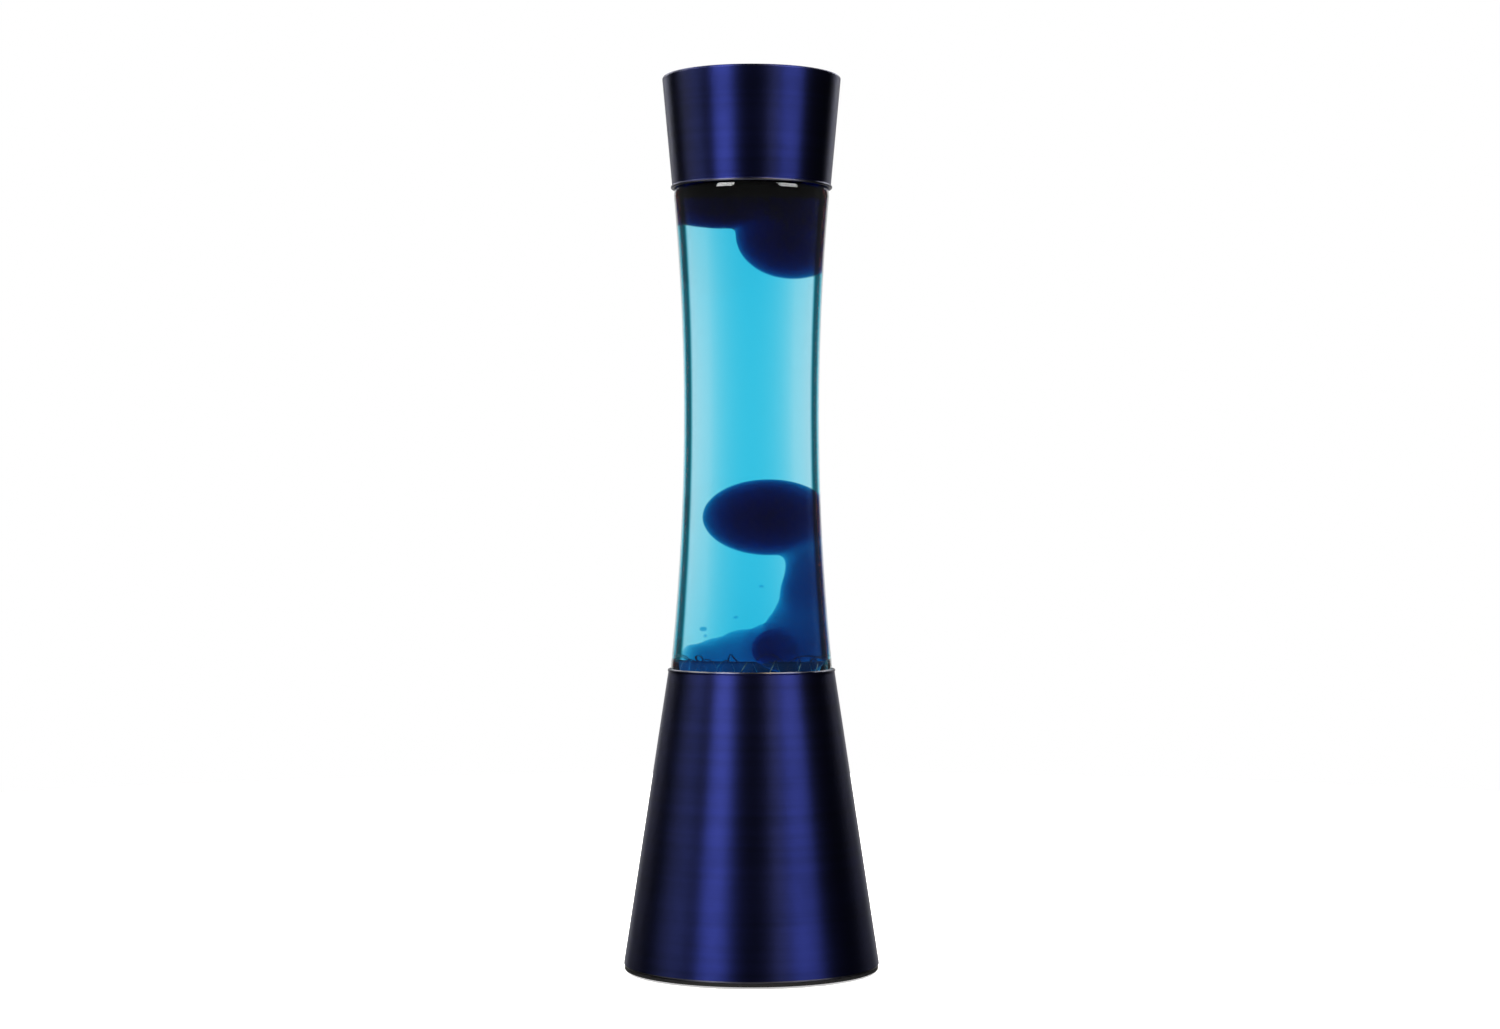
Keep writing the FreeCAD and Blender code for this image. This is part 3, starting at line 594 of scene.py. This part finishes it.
RING_HEIGHT, RING_ROUND = 8 * MM, 0.6 * MM
LIP_ROUND, MOUTH_ROUND = 0.9 * MM, 0.7 * MM
LIQUID_BELOW_LIP = 14 * MM
GLOBE_STEPS = 160


def wall_r(z, inset=0.0):
    """Radius of the waisted wall at a height, drawn in by an inset."""
    arc = ARC_R + inset
    return WAIST_R - inset + arc - math.sqrt(arc**2 - (z - WAIST_Z) ** 2)


def bottle_side(inset, floor_z):
    """Corners of the bottle's side, from its floor's edge up to its neck."""
    shoulder_z = SHOULDER_Z - inset * (math.hypot(1, SHOULDER_SLOPE) - SHOULDER_SLOPE)
    shoulder_r = wall_r(shoulder_z, inset)
    neck_r = NECK_R - inset
    neck_z = shoulder_z + (shoulder_r - neck_r) * SHOULDER_SLOPE
    corners = [(wall_r(floor_z, inset), floor_z, HEEL_ROUND - inset)]
    for z in np.linspace(floor_z + WAIST_FROM, shoulder_z - WAIST_TO, WAIST_POINTS):
        corners.append((wall_r(float(z), inset), float(z)))
    corners.append((shoulder_r, shoulder_z, SHOULDER_ROUND - inset))
    corners.append((neck_r, neck_z, NECK_ROUND + inset))
    return corners


def punt_points(floor_z, count=6):
    """Points of the shallow dome under, or in, the bottle, from the axis outwards."""
    points = []
    for share in np.linspace(0, 1, count):
        points.append((float(share) * PUNT_R, floor_z + PUNT_RISE * (1 - float(share) ** 2)))
    return points


inner_floor = GLOBE_BOTTOM + FLOOR_THICKNESS
LIQUID_TOP = NECK_TOP - LIQUID_BELOW_LIP
outside_corners = punt_points(GLOBE_BOTTOM) + bottle_side(0, GLOBE_BOTTOM) + [
    (NECK_R, NECK_TOP - RING_HEIGHT),
    (NECK_RING_R, NECK_TOP - RING_HEIGHT, RING_ROUND),
    (NECK_RING_R, NECK_TOP, LIP_ROUND),
]
inside_corners = punt_points(inner_floor) + bottle_side(WALL, inner_floor)
inside_corners.append((NECK_R - WALL, NECK_TOP, MOUTH_ROUND))
glass_outline = outline(*outside_corners, *inside_corners[::-1])
globe = turn_on_axis("globe", glass_outline, GLOBE_STEPS)
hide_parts("globe_glass")
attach(globe, "globe")
print("globe:", len(globe.data.polygons), "faces")

# %% [markdown]
# ## Glass against air and against liquid
#
# Light bends where one clear stuff meets another, by the ratio of the two. The outside of the globe and
# its dry neck meet air. Where the inside meets liquid the ratio is much smaller, so those faces get a
# second glass. They are picked by their place, and by which way they face.

# %% Globe glass
GLASS_IOR = 1.5
LIQUID_IOR = 1.33
globe_glass, tree, shader = new_finish(
    "clear_globe_glass",
    Transmission_Weight=1.0,
    IOR=GLASS_IOR,
    Roughness=0.0,
)
ripples = object_noise(tree, 60.0, 2.0, (1, 1, 0.35))
clouds = use_group(tree, CLOUDS, Size=2.0)
colour_between(tree, clouds["Patches"], (0.97, 0.995, 0.995), (0.985, 1.0, 1.0), shader.inputs["Base Color"])
bump(tree, shader, ripples, 0.4 * MM, 0.08)
globe.data.materials.append(globe_glass)

wet_glass, tree, shader = new_finish(
    "globe_glass_on_liquid",
    Transmission_Weight=1.0,
    IOR=GLASS_IOR / LIQUID_IOR,
    Roughness=0.0,
)
clouds = use_group(tree, CLOUDS, Size=2.0)
colour_between(tree, clouds["Patches"], (0.985, 1.0, 1.0), (1.0, 1.0, 1.0), shader.inputs["Base Color"])
globe.data.materials.append(wet_glass)

FLOOR_BAND = inner_floor - MM, inner_floor + 4 * MM
LEVEL_ENOUGH = 0.8  # a face of the inner floor points up at least this much
bpy.ops.object.mode_set(mode="EDIT")
bpy.ops.mesh.select_all(action="DESELECT")
skin = bmesh.from_edit_mesh(globe.data)
for face in skin.faces:
    middle = face.calc_center_median()
    outward = middle.x * face.normal.x + middle.y * face.normal.y
    on_floor = abs(face.normal.z) > LEVEL_ENOUGH and FLOOR_BAND[0] < middle.z < FLOOR_BAND[1]
    face.select = middle.z < LIQUID_TOP and (outward < 0 or on_floor)
bmesh.update_edit_mesh(globe.data)
globe.active_material_index = 1
bpy.ops.object.material_slot_assign()
bpy.ops.object.mode_set(mode="OBJECT")
print("wet faces:", sum(face.material_index == 1 for face in globe.data.polygons))

# %% [markdown]
# ## Liquid
#
# The liquid fills the glass, so its surface and the inside of the glass are one surface to the eye. The
# inside of the glass already bends light by the ratio of glass to liquid. The body of liquid stands a
# twentieth of a millimetre inside it and bends nothing. It only absorbs light along the ray, so thick
# parts are deeper in colour.

# %% Liquid
INSET = 0.05 * MM
LIQUID_COLOUR = (0.035, 0.833, 0.937)
LIQUID_DENSITY = 60.0
liquid_corners = punt_points(inner_floor + INSET) + bottle_side(WALL + INSET, inner_floor + INSET)
liquid_corners += [(NECK_R - WALL - INSET, LIQUID_TOP), (0, LIQUID_TOP)]
liquid = turn_on_axis("liquid_fill", outline(*liquid_corners), GLOBE_STEPS)
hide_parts("liquid")
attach(liquid, "globe")
print("liquid:", len(liquid.data.polygons), "faces")

turquoise, tree, shader = new_finish("turquoise_liquid", Transmission_Weight=1.0, IOR=1.0, Roughness=0.0)
haze = object_noise(tree, 14.0, 3.0)
colour_between(tree, haze, (0.985, 1.0, 1.0), (1.0, 1.0, 1.0), shader.inputs["Base Color"])
dye = add_node(tree, "VolumeAbsorption", {"Color": (*LIQUID_COLOUR, 1), "Density": LIQUID_DENSITY})
tree.links.new(dye.outputs["Volume"], tree.nodes["Material Output"].inputs["Volume"])
liquid.data.materials.append(turquoise)

# %% [markdown]
# ## Wax
#
# Warm wax flows in round blobs that melt into each other. A few balls, flattened and placed one by one, are
# joined and remeshed into one skin, and smoothing fills the creases between them as surface tension does.
# The skin is then cut to the inside of the glass, where real wax lies flat against the wall.

# %% Wax helpers
WAX_GAP = 0.35 * MM
CUTTER_STEPS = 96
cavity_corners = punt_points(inner_floor + WAX_GAP) + bottle_side(WALL + WAX_GAP, inner_floor + WAX_GAP)
cavity_corners += [(NECK_R - WALL - WAX_GAP, LIQUID_TOP - MM), (0, LIQUID_TOP - MM)]
cavity = turn_on_axis("cavity_cutter", outline(*cavity_corners), CUTTER_STEPS)


def add_ball(centre, half_sizes):
    """A ball of wax, flattened to three half sizes in millimetres."""
    bpy.ops.mesh.primitive_uv_sphere_add(
        segments=32, ring_count=18, radius=1.0,
        location=[c * MM for c in centre], scale=[s * MM for s in half_sizes],
    )
    bpy.ops.object.transform_apply(location=True, rotation=True, scale=True)
    return bpy.context.object


def melt_together(name, balls, voxel, smoothing, trim=True):
    """Joins balls into one smooth skin and cuts it to the inside of the glass."""
    deselect_everything()
    made = [add_ball(*ball) for ball in balls]
    deselect_everything()
    for piece in made:
        piece.select_set(True)
    bpy.context.view_layer.objects.active = made[0]
    bpy.ops.object.join()
    wax = bpy.context.object
    wax.name = name
    remesh = wax.modifiers.new("skin", "REMESH")
    remesh.mode = "VOXEL"
    remesh.voxel_size = voxel * MM
    bpy.ops.object.modifier_apply(modifier="skin")
    smooth = wax.modifiers.new("melt", "SMOOTH")
    smooth.factor = 0.5
    smooth.iterations = smoothing
    bpy.ops.object.modifier_apply(modifier="melt")
    if trim:
        cut = wax.modifiers.new("glass", "BOOLEAN")
        cut.operation = "INTERSECT"
        cut.solver = "EXACT"
        cut.object = cavity
        bpy.ops.object.modifier_apply(modifier="glass")
    bpy.ops.object.transform_apply(location=True, rotation=True, scale=True)
    bpy.ops.object.shade_smooth_by_angle(angle=math.radians(50))
    print(name, len(wax.data.polygons), "faces")
    return wax


# %% Wax shapes
# Each ball is its centre and its half sizes, in millimetres.
top_balls = [
    ((-9, 0, 362.3), (30, 48, 30)),
    ((13.5, 0, 329.5), (19.0, 25.0, 20.0)),
    ((16, 0, 345), (16, 40, 14)),
    ((-24, 0, 350), (13, 36, 11.5)),
    ((10, 0, 352), (26, 50, 14)),
]
wax_top = melt_together("wax_top", top_balls, 0.8, 24)

floor_balls = [
    ((5.9, 0, 202.4), (22.6, 22.5, 17.2)),
    ((18.5, 0, 189), (8.5, 9.5, 12)),
    ((20.5, 0, 172), (9.5, 13, 26)),
    ((16.8, -4, 167), (7, 10, 14)),
    ((14.5, -7, 149), (8.2, 9.5, 20)),
    ((20, -4, 148), (12, 12, 14)),
    ((10, -9, 149), (6, 8, 12)),
    ((7, -15, 142), (12, 7.5, 14)),
    ((-2, -19, 140), (15, 6.5, 13.5)),
    ((-12, -21, 138.5), (15, 6.3, 11.4)),
    ((-22, -18, 138), (14, 6.3, 8.8)),
    ((7.8, 1, 143), (8.2, 10, 9.0)),
    ((16, 2, 141), (11, 8, 9.0)),
]
wax_column = melt_together("wax_column", floor_balls, 0.6, 70)

bead_balls = [
    ((-18.5, -12, 152.8), (1.6, 2.0, 1.1)),
    ((-17.8, -13, 149.8), (0.8, 1.0, 0.7)),
    ((-5.5, -4, 157.6), (1.0, 1.2, 0.7)),
    ((3, 11, 171.0), (0.9, 0.9, 0.8)),
]
wax_drops = melt_together("wax_drops", bead_balls, 0.12, 4, trim=False)

for piece, node in ((wax_top, "wax_upper"), (wax_column, "wax_lower"), (wax_drops, "wax_beads")):
    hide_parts(node)
    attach(piece, "globe")
deselect_everything()
bpy.data.objects.remove(cavity)

# %% [markdown]
# ## Wax finish
#
# The wax is clear enough to glow at its thin edges and nearly black where it is thick, so it is a clear
# skin with a strong pigment inside. It bends light hardly more than the liquid does. Its lowest few
# millimetres have a painted glow, an emission in patches and weaker toward the column, that stands in
# for light from below.

# %% Wax finish
PIGMENT_COLOUR = (0.0, 0.68, 0.82)
PIGMENT_DENSITY = 430.0
# Painted glow: emission in the wax near the globe's floor, in patches, standing in for light from below.
PAINTED_GLOW_COLOUR = (0.01, 0.29, 1.0)
PAINTED_GLOW_BOTTOM, PAINTED_GLOW_TOP = inner_floor + 6 * MM, inner_floor + 9 * MM
PAINTED_GLOW_PATCHES, PAINTED_GLOW_LEVEL = 0.28, -0.04
PAINTED_GLOW_COLUMN_SIDE = -8 * MM, 5 * MM
PAINTED_GLOW_COLUMN_DIM = 0.65
blue_wax, tree, shader = new_finish(
    "dark_blue_wax_painted_glow",
    Transmission_Weight=1.0,
    IOR=1.006,
    Emission_Strength=1.0,
)
clouds = use_group(tree, CLOUDS, Size=1.5)
colour_between(tree, clouds["Patches"], (0.80, 0.90, 1.0), (0.92, 0.97, 1.0), shader.inputs["Base Color"])
value_between(tree, clouds["Patches"], 0.05, 0.15, shader.inputs["Roughness"])
pigment = add_node(tree, "VolumeAbsorption", {"Color": (*PIGMENT_COLOUR, 1), "Density": PIGMENT_DENSITY})
tree.links.new(pigment.outputs["Volume"], tree.nodes["Material Output"].inputs["Volume"])
place = own_place(tree)
# Painted glow mask: full below the glow's bottom, gone above its top.
glow = calc(tree, "SUBTRACT", 1.0, step(tree, place["Z"], PAINTED_GLOW_BOTTOM, PAINTED_GLOW_TOP))
uneven = calc(tree, "MULTIPLY_ADD", clouds["Patches"], PAINTED_GLOW_PATCHES, PAINTED_GLOW_LEVEL)
fading = calc(tree, "MULTIPLY_ADD", step(tree, place["X"], *PAINTED_GLOW_COLUMN_SIDE), -PAINTED_GLOW_COLUMN_DIM, 1.0)
amount = calc(tree, "MULTIPLY", glow, calc(tree, "MULTIPLY", uneven, fading))
# The painted glow goes into Emission Color.
colour_between(tree, amount, (0, 0, 0), PAINTED_GLOW_COLOUR, shader.inputs["Emission Color"])
for piece in (wax_top, wax_column, wax_drops):
    piece.data.materials.append(blue_wax)
print("wax glows from", round(PAINTED_GLOW_TOP, 4), "down")

# %% [markdown]
# ## Wire coils
#
# A spring of bright wire lies in a ring on the globe's floor, where it gathers the cooling wax. The
# bulb's filament is a much finer coil. Each is a curve along a coil's path, given a round section and
# made a mesh.


# %% Wire helper
WIRE_ROUNDNESS = 2  # gives the wire eight sides


def wire_mesh(name, points, wire_r, closed):
    """A round wire along points, as a mesh."""
    deselect_everything()
    line = bpy.data.curves.new(name, "CURVE")
    line.dimensions = "3D"
    line.bevel_depth = wire_r
    line.bevel_resolution = WIRE_ROUNDNESS
    line.use_fill_caps = not closed
    spline = line.splines.new("POLY")
    spline.points.add(len(points) - 1)
    for knot, point in zip(spline.points, points):
        knot.co = (*point, 1)
    spline.use_cyclic_u = closed
    piece = bpy.data.objects.new(name, line)
    bpy.context.collection.objects.link(piece)
    piece.select_set(True)
    bpy.context.view_layer.objects.active = piece
    bpy.ops.object.convert(target="MESH")
    bpy.ops.object.shade_smooth()
    return bpy.context.object


# %% Coil on the floor
COIL_WIRE_R = 0.2 * MM
COIL_TURNS = 15
PER_TURN = 20  # points
SLACK_TWIST, SLACK_LOOP = 0.5, 0.1  # loops slip along the ring and differ in size
coil_low, coil_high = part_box("wax_coil")
coil_r = (coil_high.z - coil_low.z) / 2 - COIL_WIRE_R
ring_r = coil_high.x - coil_r - COIL_WIRE_R
coil_z = (coil_high.z + coil_low.z) / 2
coil_points = []
for index in range(COIL_TURNS * PER_TURN):
    share = index / (COIL_TURNS * PER_TURN)
    around = math.tau * share
    twist = around * COIL_TURNS + SLACK_TWIST * math.sin(3 * around)
    loop_r = coil_r * (1.0 - SLACK_LOOP + SLACK_LOOP * math.sin(5 * around))
    out = ring_r + loop_r * math.cos(twist)
    up = loop_r * math.sin(twist)
    coil_points.append((out * math.cos(around), out * math.sin(around), coil_z + up))
wire_coil = wire_mesh("wire_coil", coil_points, COIL_WIRE_R, True)
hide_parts("wax_coil")
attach(wire_coil, "globe")
print("coil:", len(wire_coil.data.polygons), "faces")

# %% Filament
FILAMENT_TURNS = 22
FILAMENT_WIRE_R = 0.06 * MM
low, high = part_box("bulb_filament")
middle_y, middle_z = (low.y + high.y) / 2, (low.z + high.z) / 2
loop_r = (high.z - low.z) / 2 - FILAMENT_WIRE_R
filament_points = []
for index in range(FILAMENT_TURNS * PER_TURN + 1):
    share = index / (FILAMENT_TURNS * PER_TURN)
    twist = math.tau * FILAMENT_TURNS * share
    along_x = low.x + FILAMENT_WIRE_R + share * (high.x - low.x - 2 * FILAMENT_WIRE_R)
    loop_y, loop_z = loop_r * math.cos(twist), loop_r * math.sin(twist)
    filament_points.append((along_x, middle_y + loop_y, middle_z + loop_z))
filament = wire_mesh("filament_coil", filament_points, FILAMENT_WIRE_R, False)
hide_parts("bulb_filament")
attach(filament, "bulb")
print("filament:", len(filament.data.polygons), "faces")

# %% [markdown]
# ## Metals inside the lamp
#
# Zinc-plated steel has a soft cloudy shine, brass is warm and slightly tarnished, the bulb's cap is
# nickel, and the crown cap is lacquered tinplate. They share one recipe with different colours.


# %% Plain metals
def plain_metal(name, dark, light, gloss, rough, line_depth=0.0):
    """Metal whose colour and gloss drift between two values."""
    finish, tree, shader = new_finish(name, Metallic=1.0)
    clouds = use_group(tree, CLOUDS, Size=3.0)
    colour_between(tree, clouds["Patches"], dark, light, shader.inputs["Base Color"])
    value_between(tree, clouds["Patches"], gloss, rough, shader.inputs["Roughness"])
    if line_depth:
        rings = use_group(tree, TURNING, Fineness=2.0)
        bump(tree, shader, rings["Lines"], line_depth, 0.4)
    return finish


zinc = plain_metal("zinc_plated_steel", (0.42, 0.43, 0.45), (0.66, 0.67, 0.68), 0.22, 0.48, 0.02 * MM)
bright_wire = plain_metal("bright_drawn_wire", (0.40, 0.42, 0.45), (0.62, 0.63, 0.66), 0.12, 0.25)
brass = plain_metal("plain_brass", (0.52, 0.34, 0.10), (0.80, 0.60, 0.26), 0.18, 0.42)
nickel = plain_metal("nickel_plate", (0.50, 0.48, 0.44), (0.72, 0.70, 0.66), 0.15, 0.35, 0.01 * MM)
solder = plain_metal("solder", (0.45, 0.45, 0.46), (0.66, 0.66, 0.66), 0.2, 0.5)
tinplate = plain_metal("lacquered_tinplate", (0.52, 0.47, 0.32), (0.70, 0.65, 0.48), 0.2, 0.36)
silver = plain_metal("silver_layer", (0.82, 0.82, 0.82), (0.90, 0.90, 0.89), 0.04, 0.10)
tungsten = plain_metal("tungsten_wire", (0.20, 0.20, 0.21), (0.34, 0.34, 0.35), 0.3, 0.5)
dress(
    ("globe_seat", "lamp_bracket", "cover_screws", "bracket_screws", "bracket_nuts", "nipple", "nipple_nut",
     "clamp_screws", "terminal_screws"),
    zinc,
)
dress(("lampholder_shell", "lampholder_contact", "lampholder_terminals"), brass)
dress(("bulb_cap",), nickel)
dress(("bulb_contact",), solder)
dress(("crown_cap",), tinplate)
dress(("bulb_reflector",), silver)
dress(("filament_supports",), tungsten)
wire_coil.data.materials.append(bright_wire)
filament.data.materials.append(tungsten)

# %% [markdown]
# ## Plastics and rubber
#
# Moulded pieces have a fine even grain that breaks up their shine. Rubber and foam are duller, and
# coarser. One recipe makes them all, from two colours, two glosses and the size and depth of the grain.


# %% Plastics
def moulded(name, dark, light, gloss, rough, grain=1800.0, depth=0.04 * MM):
    """Moulded plastic, rubber or foam with grain in its surface."""
    finish, tree, shader = new_finish(name)
    fine = use_group(tree, GRAIN, Scale=grain)
    clouds = use_group(tree, CLOUDS, Size=2.0)
    colour_between(tree, clouds["Patches"], dark, light, shader.inputs["Base Color"])
    value_between(tree, fine["Grain"], gloss, rough, shader.inputs["Roughness"])
    bump(tree, shader, fine["Grain"], depth, 0.5)
    return finish


dress(
    ("bottom_cover", "cord_grommet", "cord_clamp"),
    moulded("black_moulding", (0.004, 0.004, 0.005), (0.008, 0.008, 0.009), 0.36, 0.5),
)
dress(
    ("rubber_feet",),
    moulded("black_rubber", (0.012, 0.012, 0.012), (0.022, 0.021, 0.020), 0.7, 0.9, 900.0),
)
dress(
    ("lampholder_body",),
    moulded("phenolic", (0.016, 0.012, 0.010), (0.028, 0.020, 0.016), 0.18, 0.3, 600.0, 0.02 * MM),
)
dress(("terminal_block",), moulded("natural_nylon", (0.68, 0.67, 0.60), (0.78, 0.77, 0.72), 0.35, 0.5))
dress(("lead_live",), moulded("brown_insulation", (0.10, 0.035, 0.015), (0.15, 0.055, 0.025), 0.3, 0.45))
dress(("lead_neutral",), moulded("blue_insulation", (0.015, 0.07, 0.26), (0.025, 0.10, 0.34), 0.3, 0.45))
dress(("bulb_insulator",), moulded("black_glass", (0.006, 0.006, 0.007), (0.012, 0.012, 0.013), 0.05, 0.12))
dress(("crown_liner",), moulded("soft_liner", (0.62, 0.61, 0.56), (0.74, 0.73, 0.69), 0.5, 0.7))
dress(
    ("seat_gasket",),
    moulded("silicone", (0.60, 0.63, 0.64), (0.74, 0.77, 0.77), 0.3, 0.42, 700.0, 0.03 * MM),
)
dress(
    ("cap_collar",),
    moulded("foam", (0.012, 0.012, 0.014), (0.035, 0.035, 0.038), 0.8, 1.0, 650.0, 0.5 * MM),
)

# %% [markdown]
# ## Bulb glass
#
# The bulb's glass is thin and clear, so it needs only its two skins and hardly any colour. A little dust
# dulls it in specks.

# %% Bulb glass
bulb_glass, tree, shader = new_finish("bulb_glass", Transmission_Weight=1.0, IOR=GLASS_IOR, Roughness=0.0)
clouds = use_group(tree, CLOUDS, Size=2.0)
colour_between(tree, clouds["Patches"], (0.94, 0.95, 0.95), (0.99, 0.99, 0.99), shader.inputs["Base Color"])
value_between(tree, clouds["Specks"], 0.02, 0.25, shader.inputs["Roughness"])
dress(("bulb_envelope", "bulb_stem"), bulb_glass)
